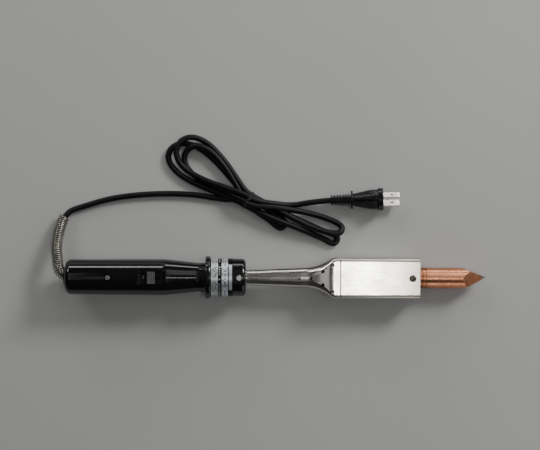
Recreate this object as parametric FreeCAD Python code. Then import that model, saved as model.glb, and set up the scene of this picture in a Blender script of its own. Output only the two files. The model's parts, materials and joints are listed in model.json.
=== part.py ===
import FreeCAD, Part
import math
import os

"""Industrial soldering iron with a slide switch, a tied mains cord and a two-blade plug.

Every piece of the iron is built along +X: x runs from the rear end of the handle to the point of the
bit, y is sideways and z is up, with the axis at y = z = 0. place() then lays the iron on its collar
flange and on the lower front edge of its housing. The cord, its hank and the plug are built on the
bench, with z = 0 on the bench under the iron and x, y as above. All lengths are millimetres.
"""

V = FreeCAD.Vector

# Lengths along the axis
HANDLE_LENGTH = 142.3
GRIP_END = 103.6  # where the grip stops widening and the neck taper starts
NECK_START = 138.0
RING_LENGTH = 3.9
COLLAR_LENGTH = 42.3
FLANGE_THICKNESS = 5.5
STEM_LENGTH = 60.0
STEM_GRIP = 20.5  # how far the stem reaches into the collar
FLARE_LENGTH = 33.0
BOX_LENGTH = 89.2
BIT_REACH = 71.7  # from the housing's mouth to the point of the bit

# Radii and cross sections
HANDLE_REAR_R = 18.3
GRIP_R = 18.95
NECK_R = 15.2
REAR_ROUND = 6.0
HANDLE_WALL = 3.0
SPIGOT_R = 12.8
SPIGOT_BORE_R = 9.8
FLANGE_R = 22.3
FLANGE_ROUND = 1.6
COLLAR_R = 19.7
STEM_REAR_R = 8.3
STEM_FRONT_R = 10.9
BOX_HALF_WIDTH = 21.25
BOX_HALF_HEIGHT = 15.0
BOX_CORNER = 4.0
VENT_R = 1.9
STEM_FLAT = 0.6  # half width of the flats where the stamped halves' round stem meets its seams
SHEET = 0.8

# Heater and bit
BIT_R = 10.95
SHANK_R = 9.0
SHANK_LENGTH = 80.0
BARREL_R = 10.0
HEAD_R = 13.0
HEAD_LENGTH = 15.5
PYRAMID_ANGLE = 23.0  # between a face of the point and the axis
PYRAMID_ROLL = 8.0
POINT_OFFSET = 1.0
BIT_GROOVES = [(2.7, 1.2), (6.1, 1.2)]  # start in front of the shoulder, and width
BIT_GROOVE_DEPTH = 1.3
MICA = 0.5
WINDING = 1.2

# Clearances
RUNNING = 0.06  # radial, bit shank in barrel and set screw in its thread
LOOSE = 0.3  # between moving and fixed pieces that only pass each other

# Rear bush, cord and plug
BUSH_R = 9.0
BUSH_DEPTH = 9.0
BUSH_NOSE = 1.5
BEND_BACK = 6.0  # how far behind the handle the cord turns aside
CORD_R = 3.1
GUARD_R = 6.0
GUARD_WIRE = 1.2
REST_GAP = 0.05  # cord above the bench
HANK_HEIGHT = 12.6
WAIST_HEIGHT = 17.2
PLUG_LENGTH = 55.3
PLUG_FLANGE_R = 12.0
PLUG_FLANGE_WIDTH = 6.0
PLUG_RING_R = 9.9
PLUG_RING_WIDTH = 2.2
RELIEF_LENGTH = 21.0
RELIEF_R = 5.4  # at the cord's end
RELIEF_FRONT_R = 6.3  # beside the ring
RELIEF_RIBS = 7
RIB_DEPTH = 1.4
BLADE_LENGTH = 17.3
BLADE_THICKNESS = 1.5
BLADE_WIDTHS = (7.9, 6.35)  # neutral and live, so that the plug goes in one way only
BLADE_SPACING = 12.7
BLADE_BEVEL = (3.0, 0.45)  # along and into each broad face at the tip
BLADE_HOLE_R = 1.6
BLADE_HOLE_X = 9.2  # from the plug's face
# Sections of the plug's body: distance in front of the ring, half width, half height, corner
PLUG_SECTIONS = [(0.0, 6.4, 5.4, 4.3), (8.0, 8.1, 6.4, 4.8), (16.0, 9.6, 7.5, 5.3)]
PLUG_LAST_SECTION = (10.2, 8.0, 5.6)  # behind the flange
PLUG_ROLL = 50.0
PLUG_YAW = 1.4

# Switch
SLOT_CENTRE = 90.0
SLOT = (27.4, 14.0)
KNOB = (7.6, 12.6)
KNOB_TRAVEL = 6.5
BEZEL_TOP = 13.6
BEZEL_THICKNESS = 1.6

# Fasteners
HANDLE_SCREW_X = 44.9
COLLAR_SCREW_BACK = 7.4  # from the collar's front face
SHOULDER_SCREW = (2.7, 13.9)  # back from the box's start, and out from the axis
SHOULDER_SCREW_R = 1.45
SET_SCREW_BACK = 7.7  # from the housing's mouth
SET_SCREW_R = 2.45
SET_SCREW_HEAD = (3.6, 2.4)  # radius, height
SET_SCREW_TRAVEL = 4.0

# Places along the axis that follow from the lengths
X_FLANGE = HANDLE_LENGTH + RING_LENGTH
X_COLLAR_BODY = X_FLANGE + FLANGE_THICKNESS
X_COLLAR_END = X_FLANGE + COLLAR_LENGTH
X_STEM = X_COLLAR_END - STEM_GRIP
X_FLARE = X_COLLAR_END + STEM_LENGTH
X_BOX = X_FLARE + FLARE_LENGTH
X_MOUTH = X_BOX + BOX_LENGTH
X_BARREL = X_BOX + 7.5
X_HEAD = X_MOUTH - 0.7 - HEAD_LENGTH
X_WINDING = X_BARREL + 6.0
X_POINT = X_MOUTH + BIT_REACH
SPIGOT_END = X_STEM - 2.0
X_REST = X_COLLAR_BODY - FLANGE_ROUND  # where the flange touches the bench
PITCH = math.degrees(math.atan((FLANGE_R - BOX_HALF_HEIGHT) / (X_MOUTH - X_REST)))
LIFT = X_MOUTH * math.sin(math.radians(PITCH)) + BOX_HALF_HEIGHT * math.cos(math.radians(PITCH))

# Route of the cord on the bench, from the bend behind the wire guard to the hank
LEAD_ROUTE = [
    (-10.4, 20.0, 22.6),
    (-12.6, 38.0, 13.2),
    (-5.2, 67.8, 4.9),
    (16.0, 74.8, 3.15),
    (45.0, 83.6, 3.15),
    (85.0, 88.2, 3.15),
    (130.0, 88.6, 3.15),
    (172.5, 82.2, 3.15),
]
GUARD_END = (-6.3, 62.6, 6.5)
TAIL_ROUTE = [(238.0, 76.0, 3.15), (257.5, 80.0, 5.8), (278.6, 81.9, 8.35)]
TIE_AT = (191.0, 81.5)
TIE_TURN = -30.0

# Outlines of the hank: x, y and corner radius
HANK_OUTLINE = [
    (171.8, 77.7, 0),
    (173.2, 86.7, 0),
    (118.0, 101.0, 20),
    (97.0, 112.0, 15),
    (97.0, 140.0, 18),
    (128.0, 158.0, 20),
    (156.0, 148.0, 30),
    (190.0, 91.0, 30),
    (214.0, 81.5, 40),
    (237.2, 80.4, 0),
    (238.8, 71.6, 0),
    (275.0, 68.0, 40),
    (299.0, 52.0, 9),
    (291.0, 36.0, 8),
    (276.0, 29.0, 8),
    (240.0, 49.0, 12),
    (224.0, 46.0, 6),
    (186.0, 72.0, 20),
]
HANK_HOLE = [
    (172.0, 99.0, 2),
    (154.0, 125.0, 20),
    (140.0, 138.0, 12),
    (124.0, 134.0, 8),
    (121.0, 118.0, 8),
    (134.0, 111.0, 6),
]


def rounded_wire(points, radii, closed=False):
    """A wire through points with a tangent arc of the given radius at each corner; 0 keeps it sharp."""
    count = len(points)
    corners = []
    for i, point in enumerate(points):
        if radii[i] == 0 or (not closed and i in (0, count - 1)):
            corners.append((point, None, point))
            continue
        back = (points[i - 1] - point).normalize()
        ahead = (points[(i + 1) % count] - point).normalize()
        half_turn = (math.pi - back.getAngle(ahead)) / 2
        reach = radii[i] * math.tan(half_turn)
        middle = (back + ahead).normalize() * (radii[i] / math.cos(half_turn) - radii[i])
        corners.append((point + back * reach, point + middle, point + ahead * reach))
    edges = []
    for i, (start, middle, end) in enumerate(corners):
        if middle is not None:
            edges.append(Part.Arc(start, middle, end).toShape())
        if closed or i < count - 1:
            after = corners[(i + 1) % count][0]
            if end.distanceToPoint(after) > 1e-4:
                edges.append(Part.LineSegment(end, after).toShape())
    return Part.Wire(edges)


def route_radii(points):
    """The largest arc that fits each corner of a cord's route."""
    radii = [0]
    for back, point, ahead in zip(points, points[1:], points[2:]):
        run = min(back.distanceToPoint(point), point.distanceToPoint(ahead))
        half_turn = (math.pi - (back - point).getAngle(ahead - point)) / 2
        radii.append(0.45 * run / math.tan(half_turn))
    return radii + [0]


def tube(points, outer, inner=0.0):
    """A round tube or rod along straight runs joined by tangent arcs."""
    points = [V(*p) for p in points]
    path = rounded_wire(points, route_radii(points))
    solids = []
    for radius in (outer, inner):
        if radius:
            ring = Part.Wire(Part.makeCircle(radius, points[0], points[1] - points[0]))
            solids.append(path.makePipeShell([ring], True, False))
    return solids[0].cut(solids[1]) if inner else solids[0]


def turned(profile):
    """A solid turned about the axis from (x, r, corner radius) points, closed along the axis if needed."""
    points = [V(x, 0, r) for x, r, _ in profile]
    wire = rounded_wire(points, [c for _, _, c in profile], closed=True)
    return Part.Face(wire).revolve(V(0, 0, 0), V(1, 0, 0), 360)


def rod(x0, x1, radius, y=0.0, z=0.0):
    return Part.makeCylinder(radius, x1 - x0, V(x0, y, z), V(1, 0, 0))


def ring(x0, x1, outer, inner):
    return rod(x0, x1, outer).cut(rod(x0 - 1, x1 + 1, inner))


def post(x, y, z0, z1, radius):
    return Part.makeCylinder(radius, z1 - z0, V(x, y, z0), V(0, 0, 1))


def block(x0, x1, half_width, z0, z1, y=0.0):
    return Part.makeBox(x1 - x0, 2 * half_width, z1 - z0, V(x0, y - half_width, z0))


def hexagon(x, y, z0, z1, across_flats):
    radius = across_flats / math.sqrt(3)
    corners = [V(x + radius * math.cos(k * math.pi / 3), y + radius * math.sin(k * math.pi / 3), z0)
               for k in range(7)]
    return Part.Face(Part.makePolygon(corners)).extrude(V(0, 0, z1 - z0))


def cross_recess(x, y, z_top, span, depth):
    width = span / 4
    recess = Part.makeBox(span, width, depth, V(x - span / 2, y - width / 2, z_top - depth))
    return recess.fuse(Part.makeBox(width, span, depth, V(x - width / 2, y - span / 2, z_top - depth)))


def pan_screw(x, y, z_seat, head_r, head_height, shank_r, length):
    """A pan-head screw whose head sits on z_seat and whose shank points down."""
    top = z_seat + head_height
    head = post(x, y, z_seat, top, head_r)
    rim = [e for e in head.Edges if len(e.Vertexes) == 1 and abs(e.CenterOfMass.z - top) < 1e-6]
    head = head.makeFillet(0.45 * head_height, rim)
    screw = head.fuse(post(x, y, z_seat - length, z_seat, shank_r))
    return screw.cut(cross_recess(x, y, top, 1.15 * head_r, 0.5 * head_height))


def handle_body():
    outside = [(0, 0, 0), (0, HANDLE_REAR_R, REAR_ROUND), (GRIP_END, GRIP_R, 60), (NECK_START, NECK_R, 30),
               (HANDLE_LENGTH, NECK_R, 0), (HANDLE_LENGTH, SPIGOT_R, 0), (SPIGOT_END, SPIGOT_R, 0),
               (SPIGOT_END, 0, 0)]
    return turned(outside)


def handle_cavity():
    wall = HANDLE_WALL
    inside = [(BUSH_DEPTH, 0, 0), (BUSH_DEPTH, HANDLE_REAR_R - wall, 2), (GRIP_END, GRIP_R - wall, 0),
              (NECK_START, SPIGOT_BORE_R, 0), (SPIGOT_END + 1, SPIGOT_BORE_R, 0), (SPIGOT_END + 1, 0, 0)]
    return turned(inside)


def seam_groove():
    """The fine groove along the parting line of the two handle shells."""
    depth = 0.4
    core = [(-1, 0, 0), (-1, HANDLE_REAR_R - depth, 0), (0.4, HANDLE_REAR_R - depth, REAR_ROUND - 1),
            (GRIP_END, GRIP_R - depth, 0), (NECK_START, NECK_R - depth, 0),
            (HANDLE_LENGTH + 1, NECK_R - depth, 0), (HANDLE_LENGTH + 1, 0, 0)]
    return block(-1, HANDLE_LENGTH, GRIP_R + 5, -0.25, 0.25).cut(turned(core))


def handle_halves():
    """Both handle shells with their bosses, pads and openings."""
    cavity = handle_cavity()
    hollow = handle_body().cut(cavity).cut(rod(-1, BUSH_DEPTH + 1, BUSH_R)).cut(seam_groove())
    span = SPIGOT_END + 2
    upper = hollow.common(block(-1, span, GRIP_R + 5, 0, GRIP_R + 5))
    lower = hollow.common(block(-1, span, GRIP_R + 5, -GRIP_R - 5, 0))

    boss = post(HANDLE_SCREW_X, 0, -GRIP_R, GRIP_R, 5.2).common(cavity)
    upper = upper.fuse(boss.common(block(0, span, 6, 0, GRIP_R)))
    upper = upper.cut(post(HANDLE_SCREW_X, 0, 12.5, GRIP_R + 1, 4.6))
    upper = upper.cut(post(HANDLE_SCREW_X, 0, -1, 13, 2.0))
    lower = lower.fuse(boss.common(block(0, span, 6, -GRIP_R, 0)))
    lower = lower.cut(post(HANDLE_SCREW_X, 0, -GRIP_R, 1, 2.0))
    lower = lower.cut(hexagon(HANDLE_SCREW_X, 0, -GRIP_R - 1, -12.5, 7.0))

    pads = block(18, 30, 11, -GRIP_R, -0.6)
    for x in (SLOT_CENTRE - 16, SLOT_CENTRE + 13):
        for side in (-1, 1):
            pads = pads.fuse(block(x, x + 3, 1.7, -GRIP_R, -7, 7.3 * side))
    pads = pads.fuse(block(SLOT_CENTRE + 20, SLOT_CENTRE + 30, 7, -GRIP_R, -9))
    lower = lower.fuse(pads.common(cavity)).cut(rod(17, 31, CORD_R))
    for side in (-1, 1):
        lower = lower.cut(post(24, 7.6 * side, -8.5, 0, 1.45))

    half = SLOT[0] / 2
    upper = upper.cut(block(SLOT_CENTRE - half, SLOT_CENTRE + half, SLOT[1] / 2, 6, GRIP_R + 1))
    return upper.cut(slot_bevel()), lower


def slot_bevel():
    """Sloping ends of the switch opening."""
    half = SLOT[0] / 2
    low, high, out = 15.6, 20.0, 2.2
    side = [V(SLOT_CENTRE - half, -SLOT[1] / 2, low), V(SLOT_CENTRE + half, -SLOT[1] / 2, low),
            V(SLOT_CENTRE + half + out, -SLOT[1] / 2, high), V(SLOT_CENTRE - half - out, -SLOT[1] / 2, high)]
    return Part.Face(Part.makePolygon(side + side[:1])).extrude(V(0, SLOT[1], 0))


def handle_fasteners():
    seat = 12.5
    screw = pan_screw(HANDLE_SCREW_X, 0, seat, 3.1, 2.4, 1.95, 2 * seat + 3.0)
    nut = hexagon(HANDLE_SCREW_X, 0, -seat - 3.2, -seat, 6.95).cut(
        post(HANDLE_SCREW_X, 0, -GRIP_R, 0, 1.95))
    return screw, nut


def rear_bush():
    nose = -BUSH_NOSE
    mouth = GUARD_R + 2.4
    return turned([(nose, mouth, 0), (nose, BUSH_R - 0.2, 0.8), (0, BUSH_R, 0), (BUSH_DEPTH, BUSH_R, 0),
                   (BUSH_DEPTH, GUARD_R, 0), (1.0, GUARD_R, 3)])


def cord_end():
    """The stripped end of the cord, its clamp and the clamp's screws."""
    jacket = rod(BUSH_DEPTH, 34, CORD_R)
    clamp = block(20, 28, 10.4, -0.6, 5.2).cut(rod(17, 31, CORD_R))
    screws = []
    for side in (-1, 1):
        clamp = clamp.cut(post(24, 7.6 * side, -2, 6, 1.5))
        screws.append(pan_screw(24, 7.6 * side, 5.2, 2.6, 1.8, 1.45, 13.0))
    return jacket, clamp, Part.makeCompound(screws)


def cores():
    """Two insulated cores past the screw boss: one to the switch, one to the terminal block."""
    x = SLOT_CENTRE
    start = [(34, 1.55), (40, 8.2), (53, 8.2), (66, 4.2)]
    heights = [0, -2, -8, -10.6]
    live = [(px, -py, h) for (px, py), h in zip(start, heights)] + [(x - 12.7, -1.6, -10.6)]
    neutral = [(px, py, h) for (px, py), h in zip(start, heights)]
    neutral += [(x + 15.5, 4.0, -10.6), (x + 20, 4.0, -5.5)]
    return Part.makeCompound([tube(live, 1.25), tube(neutral, 1.25)])


def switch_pieces():
    """Switch body, bezel, sliding knob, terminals and the lead to the terminal block."""
    x = SLOT_CENTRE
    under = BEZEL_TOP - BEZEL_THICKNESS
    reach = KNOB_TRAVEL + LOOSE
    body = block(x - 16, x + 16, 9, -7, under)
    body = body.cut(block(x - 2 - reach, x + 2 + reach, 2.0, under - 5, under + 1))
    bezel = block(x - SLOT[0] / 2, x + SLOT[0] / 2, SLOT[1] / 2, under, BEZEL_TOP)
    bezel = bezel.cut(block(x - 2 - reach, x + 2 + reach, 2.0, under - 1, BEZEL_TOP + 1))
    bezel = bezel.fuse(block(x - SLOT[0] / 2, x - SLOT[0] / 2 + 1.2, SLOT[1] / 2, BEZEL_TOP, BEZEL_TOP + 2))
    bezel = bezel.fuse(block(x + SLOT[0] / 2 - 1.2, x + SLOT[0] / 2, SLOT[1] / 2, BEZEL_TOP, BEZEL_TOP + 2))

    base = BEZEL_TOP + LOOSE
    knob = block(x - KNOB[0] / 2, x + KNOB[0] / 2, KNOB[1] / 2, base, base + 4.2)
    for k in (-1.5, -0.5, 0.5, 1.5):
        centre = x + k * KNOB[0] / 4
        knob = knob.cut(block(centre - 0.35, centre + 0.35, KNOB[1], base + 3.5, base + 5))
    knob = knob.fuse(block(x - 2, x + 2, 2.0 - LOOSE, under - 4.6, base))

    tabs = [block(x + dx - 0.4, x + dx + 0.4, 2.4, -12, -7) for dx in (-12, 0, 12)]
    lead = tube([(x + 12.4, 0, -9.8), (x + 16, 0, -9.8), (x + 18.3, -3.2, -7), (x + 20, -4, -3)], 1.0)
    return body, bezel, knob, Part.makeCompound(tabs), lead


def terminals():
    """Ceramic block where the cores meet the heater leads, with its four screws."""
    x0 = SLOT_CENTRE + 20
    x1 = SLOT_CENTRE + 30
    body = block(x0, x1, 7, -9, 3)
    screws = []
    for x in (x0 + 2.6, x1 - 2.6):
        for side in (-1, 1):
            body = body.cut(post(x, 4 * side, 0, 4, 1.0))
            screws.append(pan_screw(x, 4 * side, 3, 1.9, 1.3, 1.0, 2.8))
    return body, Part.makeCompound(screws)


def neck_ring():
    """Spacer between handle and flange, with cooling notches all round."""
    notches = 18
    body = ring(HANDLE_LENGTH, X_FLANGE, NECK_R, SPIGOT_R)
    notch = post(HANDLE_LENGTH + RING_LENGTH / 2, 0, NECK_R - 1.0, NECK_R + 1, RING_LENGTH * 0.3)
    for k in range(notches):
        turn = notch.copy()
        turn.rotate(V(0, 0, 0), V(1, 0, 0), 360.0 * k / notches)
        body = body.cut(turn)
    return body


def guard_collar():
    """Moulded collar with its heat flange; the front web grips the stem."""
    profile = [(X_FLANGE, SPIGOT_R, 0), (X_FLANGE, FLANGE_R, FLANGE_ROUND), (X_COLLAR_BODY, FLANGE_R, FLANGE_ROUND),
               (X_COLLAR_BODY, COLLAR_R, 0.6), (X_COLLAR_END, COLLAR_R, 3.9), (X_COLLAR_END, STEM_REAR_R, 0),
               (X_STEM, STEM_REAR_R, 0), (X_STEM, SPIGOT_BORE_R, 0), (SPIGOT_END, SPIGOT_BORE_R, 0),
               (SPIGOT_END, SPIGOT_R, 0)]
    collar = turned(profile)
    x = X_COLLAR_END - COLLAR_SCREW_BACK
    collar = collar.cut(post(x, 0, -COLLAR_R - 1, COLLAR_R + 1, 1.55))
    for side in (-1, 1):
        seat = sorted((side * (COLLAR_R - 1.8), side * (COLLAR_R + 1)))
        collar = collar.cut(post(x, 0, seat[0], seat[1], 3.3))
    return collar


def collar_screws():
    """Two screws, from above and below, that grip the stem."""
    screw = pan_screw(X_COLLAR_END - COLLAR_SCREW_BACK, 0, COLLAR_R - 1.8, 3.1, 2.2, 1.5,
                      COLLAR_R - 1.8 - STEM_REAR_R)
    other = screw.copy()
    other.rotate(V(0, 0, 0), V(1, 0, 0), 180)
    return Part.makeCompound([screw, other])


def rating_label():
    """Foil wrapped round the collar, open underneath."""
    x0 = X_COLLAR_BODY + 0.7
    x1 = X_COLLAR_END - 13.6
    gap = block(x0 - 1, x1 + 1, 5, -COLLAR_R - 1, 0)
    return ring(x0, x1, COLLAR_R + 0.25, COLLAR_R).cut(gap)


def housing_section(x, half_width, half_height, corner, inset=0.0):
    """Rounded rectangle across the axis at x."""
    w = half_width - inset
    h = half_height - inset
    radius = min(corner - inset, w - STEM_FLAT, h - STEM_FLAT)
    points = [V(x, w, h), V(x, -w, h), V(x, -w, -h), V(x, w, -h)]
    return rounded_wire(points, [radius] * 4, closed=True)


def housing_solid(inset=0.0):
    """Stem, flare and box as one solid; inset gives the hollow inside the sheet."""
    stations = [(X_STEM - (1 if inset else 0), 0, 0), (X_STEM + 10, 0, 0), (X_COLLAR_END, 0, 0)]
    stations += [(X_COLLAR_END + STEM_LENGTH * k, k, 0) for k in (0.25, 0.5, 0.75, 1.0)]
    flare = [(0.2, 0.04), (0.4, 0.16), (0.6, 0.38), (0.78, 0.66), (0.92, 0.89), (1.05, 1.0), (1.2, 1.0)]
    stations += [(X_FLARE + FLARE_LENGTH * t, 1, share) for t, share in flare]
    wires = []
    for x, along, share in stations:
        radius = STEM_REAR_R + (STEM_FRONT_R - STEM_REAR_R) * along
        rise = min(1, 1.25 * share)
        half_width = radius + (BOX_HALF_WIDTH - radius) * share
        half_height = radius + (BOX_HALF_HEIGHT - radius) * rise
        corner = radius + (BOX_CORNER - radius) * share
        wires.append(housing_section(x, half_width, half_height, corner, inset))
    start = stations[-1][0]
    box = Part.Face(wires[-1]).extrude(V(X_MOUTH + (1 if inset else 0) - start, 0, 0))
    return Part.makeLoft(wires, True, False).fuse(box)


def vent_places():
    """Four cooling holes on the flare, each as x and y."""
    return [(X_FLARE - 4.4, 0), (X_FLARE + 8.0, 0), (X_FLARE + 20.3, 7.1), (X_FLARE + 20.3, -7.1)]


def housing_halves(cavity):
    """Upper and lower stamped halves with vents and screw holes."""
    sheet = housing_solid().cut(cavity)
    for x, y in vent_places():
        sheet = sheet.cut(post(x, y, -GRIP_R, GRIP_R, VENT_R))
    for side in (-1, 1):
        x, y = X_BOX - SHOULDER_SCREW[0], side * SHOULDER_SCREW[1]
        sheet = sheet.cut(post(x, y, -GRIP_R, GRIP_R, SHOULDER_SCREW_R + 0.05))
        sheet = sheet.cut(post(x, y, BOX_HALF_HEIGHT - 0.3, GRIP_R, 2.5))
    span = X_MOUTH + 1
    width = BOX_HALF_WIDTH + 1
    upper = sheet.cut(block(X_STEM - 1, span, width, -GRIP_R, 0))
    lower = sheet.cut(block(X_STEM - 1, span, width, 0, GRIP_R))
    x = X_MOUTH - SET_SCREW_BACK
    upper = upper.cut(post(x, 0, 0, GRIP_R, SET_SCREW_R + LOOSE))
    return upper, lower


def shoulder_fasteners():
    """Two through screws that clamp the housing halves, with their nuts below."""
    screws, nuts = [], []
    seat = BOX_HALF_HEIGHT - 0.3
    for side in (-1, 1):
        x, y = X_BOX - SHOULDER_SCREW[0], side * SHOULDER_SCREW[1]
        screws.append(pan_screw(x, y, seat, 2.4, 1.8, SHOULDER_SCREW_R, 2 * seat + 2.6))
        nut = hexagon(x, y, -BOX_HALF_HEIGHT - 2.2, -BOX_HALF_HEIGHT, 5.5)
        nuts.append(nut.cut(post(x, y, -GRIP_R, 0, SHOULDER_SCREW_R)))
    return Part.makeCompound(screws), Part.makeCompound(nuts)


def support_plate(x0, x1, hole):
    """Flat plate that fills the box inside the sheet, with a round hole."""
    face = Part.Face(housing_section(x0, BOX_HALF_WIDTH, BOX_HALF_HEIGHT, BOX_CORNER, SHEET))
    return face.extrude(V(x1 - x0, 0, 0)).cut(rod(x0 - 1, x1 + 1, hole))


def heater_barrel():
    bore = SHANK_R + RUNNING
    barrel = turned([(X_BARREL, bore, 0), (X_BARREL, BARREL_R, 0), (X_HEAD, BARREL_R, 0), (X_HEAD, HEAD_R, 0.8),
                     (X_HEAD + HEAD_LENGTH, HEAD_R, 0.8), (X_HEAD + HEAD_LENGTH, bore, 0)])
    return barrel.cut(post(X_MOUTH - SET_SCREW_BACK, 0, 0, GRIP_R, SET_SCREW_R + RUNNING))


def winding():
    """Resistance winding as one sleeve with a ridge for each turn."""
    turns = 26
    x1 = X_HEAD - 5
    pitch = (x1 - X_WINDING) / turns
    low = BARREL_R + MICA
    profile = [(X_WINDING, low, 0)]
    for k in range(turns):
        start = X_WINDING + k * pitch
        profile += [(start, low + WINDING, 0), (start + 0.6 * pitch, low + WINDING, 0),
                    (start + 0.6 * pitch, low + 0.4, 0), (start + pitch, low + 0.4, 0)]
    return turned(profile + [(x1, low, 0)])


def heater_wraps():
    """Inner mica, winding, outer mica and the two steel bands."""
    x1 = X_HEAD - 3
    outer = BARREL_R + MICA + WINDING
    inner_mica = ring(X_WINDING, x1, BARREL_R + MICA, BARREL_R)
    outer_mica = ring(X_WINDING, x1, outer + MICA, outer)
    bands = [ring(x, x + 5, outer + MICA + 0.5, outer + MICA) for x in (X_WINDING + 6, x1 - 11)]
    return inner_mica, winding(), outer_mica, Part.makeCompound(bands)


def lead_y():
    """Distance of the heater leads from the axis where they meet the winding."""
    return BARREL_R + MICA / 2 + 0.4


def heater_leads():
    """Two nickel leads from the terminal block, through the stem, to the winding."""
    wires = []
    out = lead_y()
    for side in (-1, 1):
        route = [(SLOT_CENTRE + 30, 4 * side, 0), (X_FLARE + 4, 4 * side, 0), (X_BOX - 8, out * side, 0),
                 (X_WINDING, out * side, 0)]
        wires.append(tube(route, 0.7))
    return Part.makeCompound(wires)


def lead_beads():
    """Ceramic beads threaded on both leads through the stem."""
    pitch = 7.8
    start = SLOT_CENTRE + 36
    count = int((X_FLARE - 6 - start) / pitch)
    beads = []
    for side in (-1, 1):
        for k in range(count):
            x = start + k * pitch
            bead = rod(x, x + pitch - 0.2, 2.2, 4 * side).cut(rod(x - 1, x + pitch, 0.7, 4 * side))
            beads.append(bead)
    return Part.makeCompound(beads)


def rear_disc():
    disc = rod(X_BARREL - 4.5, X_BARREL, HEAD_R)
    for side in (-1, 1):
        disc = disc.cut(rod(X_BARREL - 6, X_BARREL + 1, 0.8, lead_y() * side))
    return disc


def rear_plate():
    plate = support_plate(X_BARREL + 0.5, X_BARREL + 2.0, BARREL_R)
    for side in (-1, 1):
        plate = plate.cut(rod(X_BARREL, X_BARREL + 3, 1.0, lead_y() * side))
    return plate


def soldering_bit():
    """Copper bit: shank, collar with two grooves, round bar and a four-sided point."""
    shoulder = X_MOUTH + 0.4
    profile = [(X_MOUTH - SHANK_LENGTH, 0, 0), (X_MOUTH - SHANK_LENGTH, SHANK_R, 1.0), (shoulder, SHANK_R, 0),
               (shoulder, BIT_R, 0.6)]
    root_r = BIT_R - BIT_GROOVE_DEPTH
    for start, width in BIT_GROOVES:
        x = shoulder + start
        profile += [(x, BIT_R, 0), (x, root_r, 0), (x + width, root_r, 0), (x + width, BIT_R, 0)]
    profile += [(X_POINT, BIT_R, 0), (X_POINT, 0, 0)]
    length = BIT_R / math.tan(math.radians(PYRAMID_ANGLE)) + 8
    half = length * math.tan(math.radians(PYRAMID_ANGLE))
    root = X_POINT - length
    base = Part.makePolygon([V(root, s * half, t * half) for s, t in
                             ((1, 1), (-1, 1), (-1, -1), (1, -1), (1, 1))])
    blunt = 0.35
    end = Part.makePolygon([V(X_POINT, s * blunt, t * blunt) for s, t in
                            ((1, 1), (-1, 1), (-1, -1), (1, -1), (1, 1))])
    base.rotate(V(0, 0, 0), V(1, 0, 0), PYRAMID_ROLL)
    end.rotate(V(0, 0, 0), V(1, 0, 0), PYRAMID_ROLL)
    end.translate(V(0, POINT_OFFSET, 0))
    point = Part.makeLoft([base, end], True, True)
    keep = point.fuse(rod(X_MOUTH - SHANK_LENGTH - 1, root, 2 * BIT_R))
    return turned(profile).common(keep)


def set_screw():
    """Screw through the top of the housing that locks the bit."""
    seat = BOX_HALF_HEIGHT + LOOSE
    length = seat - SHANK_R - 0.2
    return pan_screw(X_MOUTH - SET_SCREW_BACK, 0, seat, *SET_SCREW_HEAD, SET_SCREW_R, length)


def lay_down(shape):
    """Tip the iron's nose down and raise it until flange and housing rest on the bench."""
    shape.rotate(V(0, 0, 0), V(0, 1, 0), PITCH)
    shape.translate(V(0, 0, LIFT))
    return shape


def cord_pieces(exit_point, bend_point):
    """Wire guard, lead and tail of the cord."""
    route = [exit_point, bend_point] + LEAD_ROUTE
    guard = tube(route[:4] + [GUARD_END], GUARD_R, GUARD_R - GUARD_WIRE)
    for name, points in (("lead", route), ("tail", TAIL_ROUTE)):
        vectors = [V(*p) for p in points]
        radii = [round(r, 1) for r in route_radii(vectors)[1:-1]]
        wire = rounded_wire(vectors, route_radii(vectors))
        print(name, "length", round(wire.Length, 1), "arc radii", radii)
    return guard, tube(route, CORD_R), tube(TAIL_ROUTE, CORD_R)


def slab(outline, height, bottom):
    wire = rounded_wire([V(x, y, bottom) for x, y, _ in outline], [r for _, _, r in outline], closed=True)
    return Part.Face(wire).extrude(V(0, 0, height - bottom))


def waist_box(length, half_width, bottom, top):
    """Box across the hank where the tie goes round it."""
    box = block(-length / 2, length / 2, half_width, bottom, top)
    box.rotate(V(0, 0, 0), V(0, 0, 1), TIE_TURN)
    box.translate(V(TIE_AT[0], TIE_AT[1], 0))
    return box


def hank_and_tie():
    """The tied hank as one solid of its outer shape, and the wire tie round its waist."""
    half_width = 12.0
    hank = slab(HANK_OUTLINE, HANK_HEIGHT, REST_GAP).cut(slab(HANK_HOLE, HANK_HEIGHT + 1, -1))
    hank = hank.fuse(waist_box(9, half_width, REST_GAP, WAIST_HEIGHT))
    strap = waist_box(3, half_width, REST_GAP, WAIST_HEIGHT)
    tie = strap.cut(waist_box(4, half_width - 1, 1 + REST_GAP, WAIST_HEIGHT - 1))
    hank = hank.cut(strap.common(tie))
    turn = math.radians(TIE_TURN + 90)
    start = V(TIE_AT[0] + 4 * math.cos(turn), TIE_AT[1] + 4 * math.sin(turn), WAIST_HEIGHT + 1.0)
    twist = Part.makeCylinder(1.2, 11, start, V(math.cos(turn), math.sin(turn), 0.1))
    return hank, tie.fuse(twist)


def plug_section(u, half_width, half_height, corner):
    points = [V(u, half_width, half_height), V(u, -half_width, half_height),
              V(u, -half_width, -half_height), V(u, half_width, -half_height)]
    return rounded_wire(points, [corner] * 4, closed=True)


def plug_relief():
    """Ribbed strain relief that thickens towards the plug's ring."""
    pitch = RELIEF_LENGTH / RELIEF_RIBS
    rib = 0.55 * pitch
    profile = [(0, 0, 0)]
    for k in range(RELIEF_RIBS):
        x = k * pitch
        radius = RELIEF_R + (RELIEF_FRONT_R - RELIEF_R) * k / (RELIEF_RIBS - 1)
        profile += [(x, radius, 0), (x + rib, radius, 0), (x + rib, radius - RIB_DEPTH, 0),
                    (x + pitch, radius - RIB_DEPTH, 0)]
    return turned(profile + [(RELIEF_LENGTH, 0, 0)])


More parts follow.
